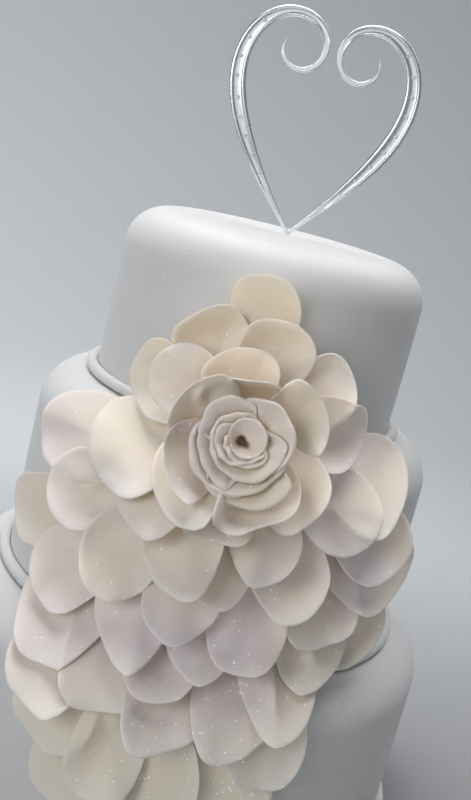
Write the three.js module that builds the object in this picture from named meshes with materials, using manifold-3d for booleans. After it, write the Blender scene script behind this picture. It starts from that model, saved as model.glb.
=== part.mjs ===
// A three-tier wedding cake in white fondant, with a large sugar rose on its front whose petals spread over
// the tiers, a rolled rope round the foot of each tier, and a silver scroll heart standing on top.
// Millimetres, +Z up. The cake's front faces -Y, and the origin is the centre of the bottom tier's foot.
import * as THREE from "three";
import { mergeVertices } from "three/addons/utils/BufferGeometryUtils.js";
import Module from "manifold-3d";

const wasm = await Module();
wasm.setup();

const DEG = Math.PI / 180;

// Cake tiers, from the bottom up: ten, eight and six inch rounds with their icing
const TIERS = [
  { name: "tier_bottom", radius: 131, height: 106 },
  { name: "tier_middle", radius: 106, height: 106 },
  { name: "tier_top", radius: 80, height: 90 },
];
const TIER_EDGE_RADIUS = 20.5;
const TIER_FOOT_CHAMFER = 1;
const ROPE_THICKNESS = 6;
const TURN_STEPS = 44;
const EDGE_STEPS = 4;
const ROPE_STEPS = 6;
const CLEARANCE = 0.3;

// The rose's centre, seen from the front: across and up
const ROSE = { x: 4, z: 225 };

// The ground that the petals lie on follows the tiers, eases over each ledge, and swells under the rose
const LEDGE_EASE = { below: 17, above: 23 };
const MOUND = { depth: 102, lean: 0.25, core: 25, fade: 50 };

// Petals
const PETAL_AROUND = 13;
const PETAL_RINGS = [0.42, 0.78, 1];
const PETAL_THICKNESS = { middle: 1.3, rim: 0.8 };
const PETAL_OUTLINE_POWER = 2.25;
const PETAL_ROOT_TAPER = { share: 0.42, power: 1.5 };
const PETAL_RISE_POWER = 1.25;
const PETAL_AIR = 0.45;
const MAP_CELL = 0.5;
const DRAPE = { clearShare: 0.5, passes: 6, sweeps: 3 };

// Layers of petals, from the lowest to the highest. Each petal is [bearing, reach, turn]: the direction of
// its tip from the rose's centre (degrees, 0 to the right and 90 up), the distance of its tip, and how far
// the petal's own line turns away from that direction. stand is the least that a layer stands off the ground,
// and rise how far the tip stands out beyond the root. Off what it lies on, a petal's tip lifts by flare, its
// sides by cup, one side more than the other by twist, and its rim waves by ruffle.
const PETAL_LAYERS = [
  {
    name: "hem", length: 56, width: 42, rise: 3, flare: 3.2, cup: 1, twist: 1.6, ruffle: 0.8,
    petals: [
      [-103.6, 195], [-111, 175, -8], [-76, 183, 10], [-88.5, 185, 6],
      [-98, 178, 6], [-69, 162, 20], [-119, 155, -24],
    ],
  },
  {
    name: "trail", length: 54, width: 41, rise: 3, flare: 3.4, cup: 1, twist: 1.8, ruffle: 0.8,
    petals: [[-103.5, 139, 20], [-90, 142, 10], [-75.5, 143, 14], [-65, 137, 18], [-123.5, 142, -20]],
  },
  {
    name: "skirt", length: 50, width: 40, rise: 3.5, flare: 3.8, cup: 1.3, twist: 1.8, ruffle: 0.8,
    petals: [
      [-51, 134], [-59.5, 128], [-94, 121, 8], [-86, 112, 4],
      [-143, 127, -24], [-127, 126, -6], [-107, 114],
    ],
  },
  {
    name: "fall", length: 50, width: 40, rise: 4.5, flare: 4, cup: 1.6, twist: 2, ruffle: 0.8,
    petals: [
      [-54, 112], [-34, 116, 14], [-31, 104], [-75, 108],
      [-95, 96, 4], [-158, 100], [-142.2, 99], [-120, 98],
    ],
  },
  {
    name: "spread", length: 50, width: 39, rise: 7, flare: 4.5, cup: 2, twist: 2, ruffle: 0.8,
    petals: [[-16, 86], [-86, 76], [-104, 72], [-58, 87], [-29, 79], [-134, 65], [-155, 72]],
  },
  {
    name: "ring", stand: -9, length: 42, width: 37, rise: 10, flare: 5, cup: 3, twist: 2, ruffle: 0.8,
    petals: [[94.3, 65], [127, 54], [168, 58], [34, 52], [7, 56], [80, 49], [157.5, 49], [-64, 65]],
  },
  {
    name: "collar", stand: 0, length: 36, width: 36, rise: 14, flare: 5.5, cup: 3.5, twist: 1.6, ruffle: 0.7,
    petals: [[-91, 46], [-128, 42], [106, 36], [-35.6, 48]],
  },
  {
    name: "cup", stand: 9, length: 27, width: 38, rise: 16, flare: 5, cup: 4, twist: 1.2, ruffle: 0.6,
    petals: [[104, 27], [155, 31], [32, 37], [-146, 32], [-59, 36]],
  },
];

// How far one petal may differ from its layer, as a share of the layer's own value
const PETAL_SPREAD = { length: 0.05, width: 0.07, flare: 0.3, cup: 0.6, ruffle: 0.4 };

// How the lifts grow from root to tip, and the two waves round a petal's rim
const LIFT_POWER = { tip: 2.2, side: 2, twist: 2.5, ruffle: 3 };
const RIM_WAVES = { slow: { count: 2, height: 0.6 }, quick: { count: 3, height: 0.4 } };

// The rolled heart of the rose: a bud with a hole in its end, and a spiral strip round it. The bud's outline
// is [radius, height], from the middle of its root over its lip and down the hole.
const BUD = {
  height: 16,
  steps: 12,
  outline: [[0, 0], [3, 0], [7.5, 14], [6.6, 16], [3.4, 15.4], [2, 13.6], [1.4, 9], [0, 9]],
};
const WRAP = { start: 200, turns: 2.9, from: 8.8, pitch: 3.9, height: 16.5, climb: 0.1 };
const WRAP_WALL = { thickness: 1.3, rootShare: 0.46, bend: 0.62, belly: 0.6, lipRound: 0.6 };
const WRAP_WAVE = { height: 0.9, count: 2.4 };
const WRAP_END = { length: 0.05, cut: 0.25 };
const WRAP_STEPS_PER_TURN = 20;
const WRAP_SECTION_POINTS = 6;
const ROSE_TILT = 13;
const ROSE_FOOT = 13;
const ROSE_LIFT = 0.45;

// The topper: two mirrored strokes that rise from one foot and curl inwards as a heart
const TOPPER = { x: 2, y: 6 };
const STROKE_LINE = { length: 200, footHeading: 49, tightest: 0.12, gentlest: 0.001, tighten: 2.2 };
const STROKE = { thinnest: 2.2, widest: 9, thickness: 3.2, slimBelow: 2.2, bevel: 0.55, swellAt: 0.36 };
const STROKE_STEPS = 30;
const STROKE_FINER = 12;
const STONE = { radius: 1.3, crown: 0.65, height: 0.8, sunk: 0.4, sides: 6, count: 7, from: 0.2, to: 0.56 };

const COLOURS = { fondant: 0xf4f2ee, petal: 0xf0e6d6, silver: 0xb9bec8 };

function material(colour, roughness, metalness = 0) {
  return new THREE.MeshStandardMaterial({ color: colour, roughness, metalness });
}

const FONDANT = material(COLOURS.fondant, 0.55);
const SUGAR_PETAL = material(COLOURS.petal, 0.6);
const SILVER = material(COLOURS.silver, 0.3, 1);

function named(name, geometry, finish) {
  const mesh = new THREE.Mesh(geometry, finish);
  mesh.name = name;
  return mesh;
}

// A repeatable random source, from 0 to 1
function seeded(seed) {
  let state = seed >>> 0;
  return () => {
    state = (state + 0x6d2b79f5) >>> 0;
    let t = Math.imul(state ^ (state >>> 15), 1 | state);
    t = (t + Math.imul(t ^ (t >>> 7), 61 | t)) ^ t;
    return ((t ^ (t >>> 14)) >>> 0) / 4294967296;
  };
}

function smoothStep(t) {
  const c = Math.min(1, Math.max(0, t));
  return c * c * (3 - 2 * c);
}

function tierFoot(index) {
  return TIERS.slice(0, index).reduce((sum, tier) => sum + tier.height, 0);
}

// Half outline of a tier, from the middle of its foot to the middle of its top
function tierProfile(tier, index) {
  const foot = tierFoot(index) + (index ? CLEARANCE : 0);
  const top = tierFoot(index) + tier.height;
  const points = [
    new THREE.Vector2(0, foot),
    new THREE.Vector2(tier.radius - TIER_FOOT_CHAMFER, foot),
    new THREE.Vector2(tier.radius, foot + TIER_FOOT_CHAMFER),
  ];
  for (let i = 0; i <= EDGE_STEPS; i++) {
    const angle = (i / EDGE_STEPS) * 90 * DEG;
    points.push(
      new THREE.Vector2(
        tier.radius - TIER_EDGE_RADIUS * (1 - Math.cos(angle)),
        top - TIER_EDGE_RADIUS * (1 - Math.sin(angle)),
      ),
    );
  }
  points.push(new THREE.Vector2(0, top));
  return points;
}

// LatheGeometry turns about +Y, so its result is stood up on +Z
function lathe(points) {
  return new THREE.LatheGeometry(points, TURN_STEPS).rotateX(90 * DEG);
}

function ropeMiddle(tier, index) {
  const half = ROPE_THICKNESS / 2;
  return { r: tier.radius + CLEARANCE + half, z: tierFoot(index) + CLEARANCE + half };
}

// A closed ring of round section; its outline runs anticlockwise, as the tier's does
function ropeProfile(tier, index) {
  const { r, z } = ropeMiddle(tier, index);
  const half = ROPE_THICKNESS / 2;
  const points = [];
  for (let i = 0; i <= ROPE_STEPS; i++) {
    const angle = ((i % ROPE_STEPS) + 0.5) * (360 / ROPE_STEPS) * DEG;
    points.push(new THREE.Vector2(r + half * Math.cos(angle), z + half * Math.sin(angle)));
  }
  return points;
}

// Outer radius of the cake at a height, ropes included
function cakeRadius(z) {
  let radius = 0;
  TIERS.forEach((tier, index) => {
    const top = tierFoot(index) + tier.height;
    if (z < tierFoot(index) || z > top) return;
    const over = Math.max(0, z - (top - TIER_EDGE_RADIUS));
    radius = tier.radius - TIER_EDGE_RADIUS + Math.sqrt(TIER_EDGE_RADIUS ** 2 - over ** 2);
    const rope = ropeMiddle(tier, index);
    const half = ROPE_THICKNESS / 2;
    const beside = half ** 2 - (z - rope.z) ** 2;
    if (beside > 0) radius = Math.max(radius, rope.r + Math.sqrt(beside));
  });
  return radius;
}

// How far the cake itself stands out towards the front at a point of the front view
function cakeDepth(x, z) {
  const radius = cakeRadius(z);
  return radius > Math.abs(x) ? Math.sqrt(radius ** 2 - x ** 2) : -radius;
}

function groundRadius(z) {
  let radius = TIERS[0].radius;
  for (let i = 1; i < TIERS.length; i++) {
    const start = tierFoot(i) - LEDGE_EASE.below;
    const span = LEDGE_EASE.below + LEDGE_EASE.above;
    radius -= (TIERS[i - 1].radius - TIERS[i].radius) * smoothStep((z - start) / span);
  }
  return radius;
}

// The smooth ground of the petals: how far it stands out towards the front
function groundDepth(x, z) {
  const radius = groundRadius(z);
  const ground = radius - (x * x) / (2 * radius);
  const fromRose = Math.hypot(x - ROSE.x, z - ROSE.z);
  const share = 1 - smoothStep((fromRose - MOUND.core) / MOUND.fade);
  const mound = Math.max(ground, MOUND.depth - MOUND.lean * (z - ROSE.z));
  return ground * (1 - share) + mound * share;
}

// Depth map of what is already on the cake, seen from the front
const MAP = { left: -135, right: 135, low: 0, high: 310 };
const MAP_COLUMNS = Math.round((MAP.right - MAP.left) / MAP_CELL);
const MAP_ROWS = Math.round((MAP.high - MAP.low) / MAP_CELL);
const depthMap = new Float64Array(MAP_COLUMNS * MAP_ROWS);

function mapPoint(column, row) {
  return [MAP.left + (column + 0.5) * MAP_CELL, MAP.low + (row + 0.5) * MAP_CELL];
}

for (let row = 0; row < MAP_ROWS; row++) {
  for (let column = 0; column < MAP_COLUMNS; column++) {
    depthMap[row * MAP_COLUMNS + column] = cakeDepth(...mapPoint(column, row));
  }
}

// Calls visit(cell, a, b, c) for each map cell under a triangle of the front view, with the cell's weights
function coverTriangle([p, q, r], visit) {
  const area = (q.x - p.x) * (r.z - p.z) - (r.x - p.x) * (q.z - p.z);
  if (Math.abs(area) < 1e-9) return;
  const cells = (value, low) => Math.floor((value - low) / MAP_CELL);
  const columns = [p, q, r].map((v) => cells(v.x, MAP.left));
  const rows = [p, q, r].map((v) => cells(v.z, MAP.low));
  for (let row = Math.max(0, Math.min(...rows)); row <= Math.min(MAP_ROWS - 1, Math.max(...rows)); row++) {
    for (let column = Math.min(...columns); column <= Math.max(...columns); column++) {
      const [x, z] = mapPoint(column, row);
      const b = ((x - p.x) * (r.z - p.z) - (r.x - p.x) * (z - p.z)) / area;
      const c = ((q.x - p.x) * (z - p.z) - (x - p.x) * (q.z - p.z)) / area;
      const a = 1 - b - c;
      const slack = -0.04;
      if (a >= slack && b >= slack && c >= slack) visit(row * MAP_COLUMNS + column, a, b, c);
    }
  }
}

// A point of a petal's outline, along its line and across it, both from -1 to 1
function outlinePoint(angle) {
  const power = 2 / PETAL_OUTLINE_POWER;
  const along = Math.sign(Math.cos(angle)) * Math.abs(Math.cos(angle)) ** power;
  const across = Math.sign(Math.sin(angle)) * Math.abs(Math.sin(angle)) ** power;
  const taper = PETAL_ROOT_TAPER.share * ((1 - along) / 2) ** PETAL_ROOT_TAPER.power;
  return { along, across: across * (1 - taper) };
}

// How far a petal lifts off what it lies on, never below nothing: share is 0 at its middle and 1 at its rim
function petalFlare(form, along, across, angle, share) {
  const towardsTip = (along + 1) / 2;
  const tip = form.flare * towardsTip ** LIFT_POWER.tip;
  const sides = form.cup * (across * towardsTip) ** LIFT_POWER.side;
  const turned = (form.twist * (1 + form.side * across) * towardsTip ** LIFT_POWER.twist) / 2;
  const slow = RIM_WAVES.slow.height * Math.sin(RIM_WAVES.slow.count * angle + form.phase);
  const quick = RIM_WAVES.quick.height * Math.sin(RIM_WAVES.quick.count * angle + form.phase2);
  const waved = form.ruffle * (1 + slow + quick) * share ** LIFT_POWER.ruffle * towardsTip;
  return tip + sides + turned + waved;
}

// Columns of a petal: its points in the front view, with the depth of its front face and its thickness
function petalColumns(form) {
  const facing = (form.bearing + form.turn) * DEG;
  const bearing = form.bearing * DEG;
  const middle = {
    x: ROSE.x + form.reach * Math.cos(bearing) - (form.length / 2) * Math.cos(facing),
    z: ROSE.z + form.reach * Math.sin(bearing) - (form.length / 2) * Math.sin(facing),
  };
  const steepness = Math.hypot(1, form.rise / form.length);
  const column = (angle, share) => {
    const edge = outlinePoint(angle);
    const along = edge.along * share;
    const across = edge.across * share;
    const u = (along * form.length) / 2;
    const v = (across * form.width) / 2;
    const x = middle.x + u * Math.cos(facing) - v * Math.sin(facing);
    const z = middle.z + u * Math.sin(facing) + v * Math.cos(facing);
    const thickness = PETAL_THICKNESS.middle + (PETAL_THICKNESS.rim - PETAL_THICKNESS.middle) * share ** 2;
    const depth = groundDepth(x, z) + form.rise * ((along + 1) / 2) ** PETAL_RISE_POWER;
    const flare = petalFlare(form, along, across, angle, share);
    return { x, z, depth, thickness: thickness * steepness, flare };
  };
  const columns = [column(0, 0)];
  for (const share of PETAL_RINGS) {
    for (let i = 0; i < PETAL_AROUND; i++) columns.push(column((i / PETAL_AROUND) * 360 * DEG, share));
  }
  return columns;
}

// Triangles of a disc of rings round a middle point, anticlockwise in the front view
function discTriangles(around, rings) {
  const triangles = [];
  for (let i = 0; i < around; i++) {
    const next = (i + 1) % around;
    triangles.push([0, 1 + i, 1 + next]);
    for (let ring = 0; ring + 1 < rings; ring++) {
      const inner = 1 + ring * around;
      const outer = inner + around;
      triangles.push([inner + i, outer + i, outer + next], [inner + i, outer + next, inner + next]);
    }
  }
  return triangles;
}

const PETAL_TRIANGLES = discTriangles(PETAL_AROUND, PETAL_RINGS.length);

// Map cells under a petal, each with the depth that the petal needs there to be clear of everything below it
function petalNeeds(columns) {
  const needs = [];
  for (const triangle of PETAL_TRIANGLES) {
    const corners = triangle.map((i) => columns[i]);
    coverTriangle(corners, (cell, ...weights) => {
      const thickness = weights.reduce((sum, w, i) => sum + w * corners[i].thickness, 0);
      needs.push({ cell, weights, triangle, depth: depthMap[cell] + thickness + PETAL_AIR });
    });
  }
  return needs;
}

function shortfall(columns, { weights, triangle, depth }) {
  return depth - weights.reduce((sum, w, i) => sum + w * columns[triangle[i]].depth, 0);
}

// Each point of a petal moves towards the mean of the points that it shares a triangle with
function relaxRaise(raise) {
  const sums = raise.map(() => [0, 0]);
  for (const triangle of PETAL_TRIANGLES) {
    for (const i of triangle) {
      for (const j of triangle) {
        if (i === j) continue;
        sums[i][0] += raise[j];
        sums[i][1] += 1;
      }
    }
  }
  return raise.map((value, i) => 0.5 * value + (0.5 * sums[i][0]) / sums[i][1]);
}

// Raises a petal's points, softly, wherever it would cut into something below it
function drapePass(columns, needs, start) {
  for (let sweep = 0; sweep < DRAPE.sweeps; sweep++) {
    for (const need of needs) {
      const lack = shortfall(columns, need);
      if (lack <= 0) continue;
      const square = need.weights.reduce((sum, w) => sum + w * w, 0);
      need.triangle.forEach((i, k) => (columns[i].depth += (lack * Math.max(0, need.weights[k])) / square));
    }
  }
  const raise = relaxRaise(columns.map((v, i) => v.depth - start[i]));
  columns.forEach((v, i) => (v.depth = start[i] + Math.max(0, raise[i])));
}

// Lays a petal on what is under it: it sinks until enough of it is clear, the rest of it bends up over what
// it meets, and then it flares
function restPetal(columns, stand) {
  const needs = petalNeeds(columns);
  const lacks = needs.map((need) => shortfall(columns, need)).sort((one, other) => one - other);
  const sink = Math.max(stand, lacks[Math.floor(DRAPE.clearShare * (lacks.length - 1))]);
  for (const v of columns) v.depth += sink;
  const start = columns.map((v) => v.depth);
  for (let pass = 0; pass < DRAPE.passes; pass++) drapePass(columns, needs, start);
  const left = Math.max(0, ...needs.map((need) => shortfall(columns, need)));
  for (const v of columns) v.depth += left + v.flare;
  for (const { cell, weights, triangle } of needs) {
    const depth = weights.reduce((sum, w, i) => sum + w * columns[triangle[i]].depth, 0);
    depthMap[cell] = Math.max(depthMap[cell], depth);
  }
}

// Closed solid of a petal: front face, back face and rim
function petalGeometry(columns) {
  const count = columns.length;
  const positions = [];
  for (const v of columns) positions.push(v.x, -v.depth, v.z);
  for (const v of columns) positions.push(v.x, -(v.depth - v.thickness), v.z);
  const index = [];
  for (const [a, b, c] of PETAL_TRIANGLES) index.push(a, b, c, count + a, count + c, count + b);
  const rim = count - PETAL_AROUND;
  for (let i = 0; i < PETAL_AROUND; i++) {
    const here = rim + i;
    const next = rim + ((i + 1) % PETAL_AROUND);
    index.push(here, count + here, count + next, here, count + next, next);
  }
  return geometryFrom(positions, index);
}

function geometryFrom(positions, index) {
  const geometry = new THREE.BufferGeometry();
  geometry.setAttribute("position", new THREE.Float32BufferAttribute(positions, 3));
  geometry.setIndex(index);
  geometry.computeVertexNormals();
  return geometry;
}

function petals() {
  const random = seeded(47);
  const vary = (value, share) => value * (1 + share * (2 * random() - 1));
  const meshes = [];
  for (const layer of PETAL_LAYERS) {
    layer.petals.forEach(([bearing, reach, turn = 0], i) => {
      const form = {
        bearing,
        reach,
        turn,
        length: vary(layer.length, PETAL_SPREAD.length),
        width: vary(layer.width, PETAL_SPREAD.width),
        rise: layer.rise,
        flare: vary(layer.flare, PETAL_SPREAD.flare),
        cup: vary(layer.cup, PETAL_SPREAD.cup),
        twist: layer.twist,
        side: random() < 0.5 ? -1 : 1,
        ruffle: vary(layer.ruffle, PETAL_SPREAD.ruffle),
        phase: 360 * DEG * random(),
        phase2: 360 * DEG * random(),
      };
      const columns = petalColumns(form);
      restPetal(columns, layer.stand ?? -Infinity);
      meshes.push(named(`petal_${layer.name}_${i + 1}`, petalGeometry(columns), SUGAR_PETAL));
    });
  }
  return meshes;
}

// The middle of the foot of the rose's heart, which tilts up about it, its mouth at the rose's centre
const HEART_FOOT = { x: ROSE.x, z: ROSE.z - BUD.height * Math.sin(ROSE_TILT * DEG) };

// Depth at which the rolled heart of the rose starts: just clear of every petal root under it
function roseBase() {
  let base = 0;
  depthMap.forEach((depth, cell) => {
    const [x, z] = mapPoint(cell % MAP_COLUMNS, Math.floor(cell / MAP_COLUMNS));
    if (Math.hypot(x - HEART_FOOT.x, z - HEART_FOOT.z) > ROSE_FOOT) return;
    base = Math.max(base, depth + (z - HEART_FOOT.z) * Math.tan(ROSE_TILT * DEG));
  });
  return base + ROSE_LIFT;
}

// Stands a piece that was turned about the rose's axis in its place
function placeInRose(geometry) {
  return geometry.rotateX(-ROSE_TILT * DEG).translate(HEART_FOOT.x, -ROSE_DEPTH, HEART_FOOT.z);
}

// The bud: a cone of petal paste with a hole in its end, turned about the rose's axis
function budGeometry() {
  const profile = BUD.outline.map(([radius, height]) => new THREE.Vector2(radius, height));
  return placeInRose(new THREE.LatheGeometry(profile, BUD.steps).rotateX(180 * DEG));
}

// Inner radius of the strip's wall at a share of its height: it opens from its root, then faster to its lip
function wallRadius(lip, share) {
  const { rootShare, bend, belly } = WRAP_WALL;
  const root = lip * rootShare;
  const middle = (root + lip) / 2 + belly;
  if (share < bend) return root + ((middle - root) * share) / bend;
  return middle + ((lip - middle) * (share - bend)) / (1 - bend);
}

// Section of the strip's wall: up its inner face, over its sloping lip, and down its outer face
function wrapSection(lip, height, cut) {
  const inner = [0, WRAP_WALL.bend * cut, cut].map((level) => [wallRadius(lip, level), level * height]);
  const outer = inner.map(([r, h]) => [r + WRAP_WALL.thickness, h]);
  outer[2][1] -= WRAP_WALL.lipRound;
  return [...inner, ...outer.reverse()];
}

// A spiral strip: a thin wall that is cut lower towards its two ends
function wrapGeometry() {
  const steps = Math.round(WRAP_STEPS_PER_TURN * WRAP.turns);
  const positions = [];
  for (let i = 0; i <= steps; i++) {
    const share = i / steps;
    const angle = (WRAP.start + 360 * WRAP.turns * share) * DEG;
    const lip = WRAP.from + WRAP.pitch * WRAP.turns * share;
    const whole = Math.min(1, share / WRAP_END.length, (1 - share) / WRAP_END.length);
    const cut = 1 - WRAP_END.cut * (1 - whole);
    const wave = WRAP_WAVE.height * Math.sin(WRAP_WAVE.count * angle);
    const height = WRAP.height + WRAP.climb * lip + wave;
    for (const [r, h] of wrapSection(lip, height, cut)) {
      positions.push(r * Math.cos(angle), -h, r * Math.sin(angle));
    }
  }
  return placeInRose(tubeGeometry(positions, steps + 1, WRAP_SECTION_POINTS));
}

// Skin over a row of closed sections, with a flat fan on each end
function tubeGeometry(positions, sections, around) {
  const index = [];
  for (let s = 0; s + 1 < sections; s++) {
    for (let i = 0; i < around; i++) {
      const a = s * around + i;
      const b = s * around + ((i + 1) % around);
      index.push(a, b, b + around, a, b + around, a + around);
    }
  }
  const last = (sections - 1) * around;
  for (let i = 1; i + 1 < around; i++) index.push(0, i + 1, i, last, last + i, last + i + 1);
  return geometryFrom(positions, index);
}

// Middle line of the right-hand stroke: its bend tightens from the foot to the end of the curl
function strokeStations() {
  const { length, footHeading, tightest, gentlest, tighten } = STROKE_LINE;
  const count = STROKE_STEPS * STROKE_FINER;
  const step = length / count;
  const stations = [];
  let x = 0;
  let z = 0;
  let heading = footHeading * DEG;
  for (let i = 0; i <= count; i++) {
    const share = i / count;
    if (i % STROKE_FINER === 0) stations.push({ x, z, heading, share });
    const bend = gentlest + (tightest - gentlest) * share ** tighten;
    heading += bend * step;
    x += step * Math.cos(heading);
    z += step * Math.sin(heading);
  }
  return stations;
}

function strokeWidth(share) {
  const swell = share < STROKE.swellAt ? share / STROKE.swellAt : (1 - share) / (1 - STROKE.swellAt);
  return STROKE.thinnest + (STROKE.widest - STROKE.thinnest) * smoothStep(swell);
}

function strokeGeometry() {
  const stations = strokeStations();
  const positions = [];
  for (const { x, z, heading, share } of stations) {
    const half = strokeWidth(share) / 2;
    const deep = (STROKE.thickness / 2) * Math.min(1, half / STROKE.slimBelow);
    const inner = half * STROKE.bevel;
    const section = [
      [inner, -deep],
      [-inner, -deep],
      [-half, 0],
      [-inner, deep],
      [inner, deep],
      [half, 0],
    ];
    for (const [side, out] of section) {
      positions.push(x - side * Math.sin(heading), out, z + side * Math.cos(heading));
    }
  }
  return tubeGeometry(positions, stations.length, 6);
}

// Stones set in the front of the stroke's broad stretch, as low domes
function stoneGeometries() {
  const stations = strokeStations();
  const stones = [];
  for (let i = 0; i < STONE.count; i++) {
    const share = STONE.from + ((STONE.to - STONE.from) * i) / (STONE.count - 1);
    const { x, z } = stations[Math.round(share * STROKE_STEPS)];
    const stone = new THREE.CylinderGeometry(
      STONE.crown, STONE.radius, STONE.height + STONE.sunk, STONE.sides,
    );
    const out = STROKE.thickness / 2 + (STONE.height - STONE.sunk) / 2;
    stones.push(stone.rotateX(90 * DEG).translate(x, -out, z));
  }
  return stones;
}

function solidOf(geometry) {
  const bare = geometry.clone();
  bare.deleteAttribute("normal");
  bare.deleteAttribute("uv");
  const merged = mergeVertices(bare, 1e-4);
  return new wasm.Manifold(
    new wasm.Mesh({
      numProp: 3,
      vertProperties: merged.attributes.position.array,
      triVerts: new Uint32Array(merged.index.array),
    }),
  );
}

function geometryOf(solid) {
  const mesh = solid.getMesh();
  return geometryFrom(Array.from(mesh.vertProperties), Array.from(mesh.triVerts));
}

// Both strokes and their stones as one casting, its lowest point on the top tier
function topperGeometry() {
  const halves = [strokeGeometry(), ...stoneGeometries()].map(solidOf);
  const right = halves.reduce((whole, piece) => whole.add(piece));
  const whole = right.add(right.mirror([1, 0, 0]));
  const geometry = geometryOf(whole);
  geometry.computeBoundingBox();
  const top = tierFoot(TIERS.length) + CLEARANCE;
  return geometry.translate(TOPPER.x, TOPPER.y, top - geometry.boundingBox.min.z);
}

const cake = new THREE.Group();
TIERS.forEach((tier, index) => {
  cake.add(named(tier.name, lathe(tierProfile(tier, index)), FONDANT));
  cake.add(named(tier.name.replace("tier", "rope"), lathe(ropeProfile(tier, index)), FONDANT));
});
cake.add(...petals());
const ROSE_DEPTH = roseBase();
cake.add(named("rose_bud", budGeometry(), SUGAR_PETAL));
cake.add(named("rose_wrap", wrapGeometry(), SUGAR_PETAL));
cake.add(named("topper", topperGeometry(), SILVER));

export default cake;
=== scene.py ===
# A three-tier wedding cake in white fondant, with a cascade of sugar petals round a sugar rose, and a silver
# scroll heart on top. Everything is in metres, +Z up, with the cake's front towards -Y.
import math
import random

import bpy
import numpy as np
from mathutils import Matrix, Vector, noise


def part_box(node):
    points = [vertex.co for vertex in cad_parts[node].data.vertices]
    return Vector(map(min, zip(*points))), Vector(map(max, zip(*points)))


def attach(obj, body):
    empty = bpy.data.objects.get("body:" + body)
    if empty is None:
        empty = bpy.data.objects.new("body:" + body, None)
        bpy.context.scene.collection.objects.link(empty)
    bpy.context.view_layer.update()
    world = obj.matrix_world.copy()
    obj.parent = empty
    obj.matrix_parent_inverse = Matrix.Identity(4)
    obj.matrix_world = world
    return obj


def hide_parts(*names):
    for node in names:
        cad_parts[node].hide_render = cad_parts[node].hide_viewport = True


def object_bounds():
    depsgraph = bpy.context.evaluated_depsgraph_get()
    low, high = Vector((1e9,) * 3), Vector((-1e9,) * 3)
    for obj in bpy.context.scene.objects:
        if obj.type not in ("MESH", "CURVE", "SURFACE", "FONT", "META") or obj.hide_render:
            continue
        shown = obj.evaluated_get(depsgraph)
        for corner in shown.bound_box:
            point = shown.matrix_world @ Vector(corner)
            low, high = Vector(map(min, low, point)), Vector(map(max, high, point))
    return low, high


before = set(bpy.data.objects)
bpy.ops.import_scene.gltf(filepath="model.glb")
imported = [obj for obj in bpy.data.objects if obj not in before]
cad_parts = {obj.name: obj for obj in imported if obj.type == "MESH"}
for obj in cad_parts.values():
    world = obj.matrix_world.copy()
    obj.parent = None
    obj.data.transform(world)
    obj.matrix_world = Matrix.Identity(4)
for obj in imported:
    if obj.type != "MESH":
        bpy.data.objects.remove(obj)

CAD_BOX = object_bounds()
MM = 0.001

# The photograph's view
PHOTO_HEIGHT_PX = 800
FOCAL_PX = 1057.8
SENSOR_MM = 36
VIEW = {"distance": 0.560, "height": 0.342, "down": 13.31, "left": 0.30, "roll": 14.14}

# Tiers: smooth icing over the solid's own radius and height
TIER_NAMES = ("bottom", "middle", "top")
TIER_EDGE = 20.5 * MM
TIER_FOOT_CHAMFER = 1 * MM
TIER_AROUND = 240
TIER_FOOT_STEPS = 6
TIER_EDGE_STEPS = 20
TIER_SIDE_STEPS = 26
TIER_TOP_STEPS = 30
ICING_SWELL = {"height": 0.35 * MM, "scale": 16}
ROPE_AROUND = 300
ROPE_SIDES = 20
ROPE_SWELL = {"height": 0.25 * MM, "scale": 40, "inset": 0.6}

# Petals: a fine sheet over each solid's front, whose points lie in rings at these shares of the way out
PETAL_SOLID_AROUND = 13
PETAL_SHARES = (0.0, 0.42, 0.78, 1.0)
KEYS_PER_MM = 100
SAME_PLACE = 1e-6
PETAL_AROUND = 96
PETAL_RINGS = 20
PETAL_SPACING = 0.8
PETAL_LAYERS = ("hem", "trail", "skirt", "fall", "spread", "ring", "collar", "cup")
PETAL_SHEET = {"middle": 0.95 * MM, "rim": 0.4 * MM}
# How a petal is shaped. Each height grows with a power of the share of the way out: broad bends, ruffles and
# a fine frill, which are waves of several lengths, an outline that wanders in and out, and a lip that curls
# towards the viewer, its last part rolled back. One soft fold has a width and lies up to a turn (radians)
# beside the petal's tip.
PETAL_BEND = {"counts": (1, 2, 3), "height": 2.6 * MM, "power": 1.6}
PETAL_RUFFLE = {"counts": (3, 4, 6), "height": 1.7 * MM, "power": 3.2}
PETAL_FRILL = {"counts": (11, 15, 19), "height": 0.22 * MM, "power": 9}
PETAL_WANDER = {"counts": (2, 3, 5), "height": 0.6 * MM, "power": 3}
PETAL_LIP = {"height": 5.4 * MM, "power": 3.2}
PETAL_ROLL = {"from": 0.9, "back": 0.9 * MM}
PETAL_FOLD = {"height": 3.2 * MM, "width": 0.45, "power": 1.3, "turn": 0.9}
CURL_WAVE = {"counts": (1, 2, 3), "height": 0.6, "least": -0.2}
# What is left of the curl, the waviness and the pale rim (partly the paste's own tone, partly a painted
# highlight) on a petal's side towards the rose
ROSE_SIDE = {"curl": 0.15, "waviness": 0.2, "pale_highlit_rim": 0.4}
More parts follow.
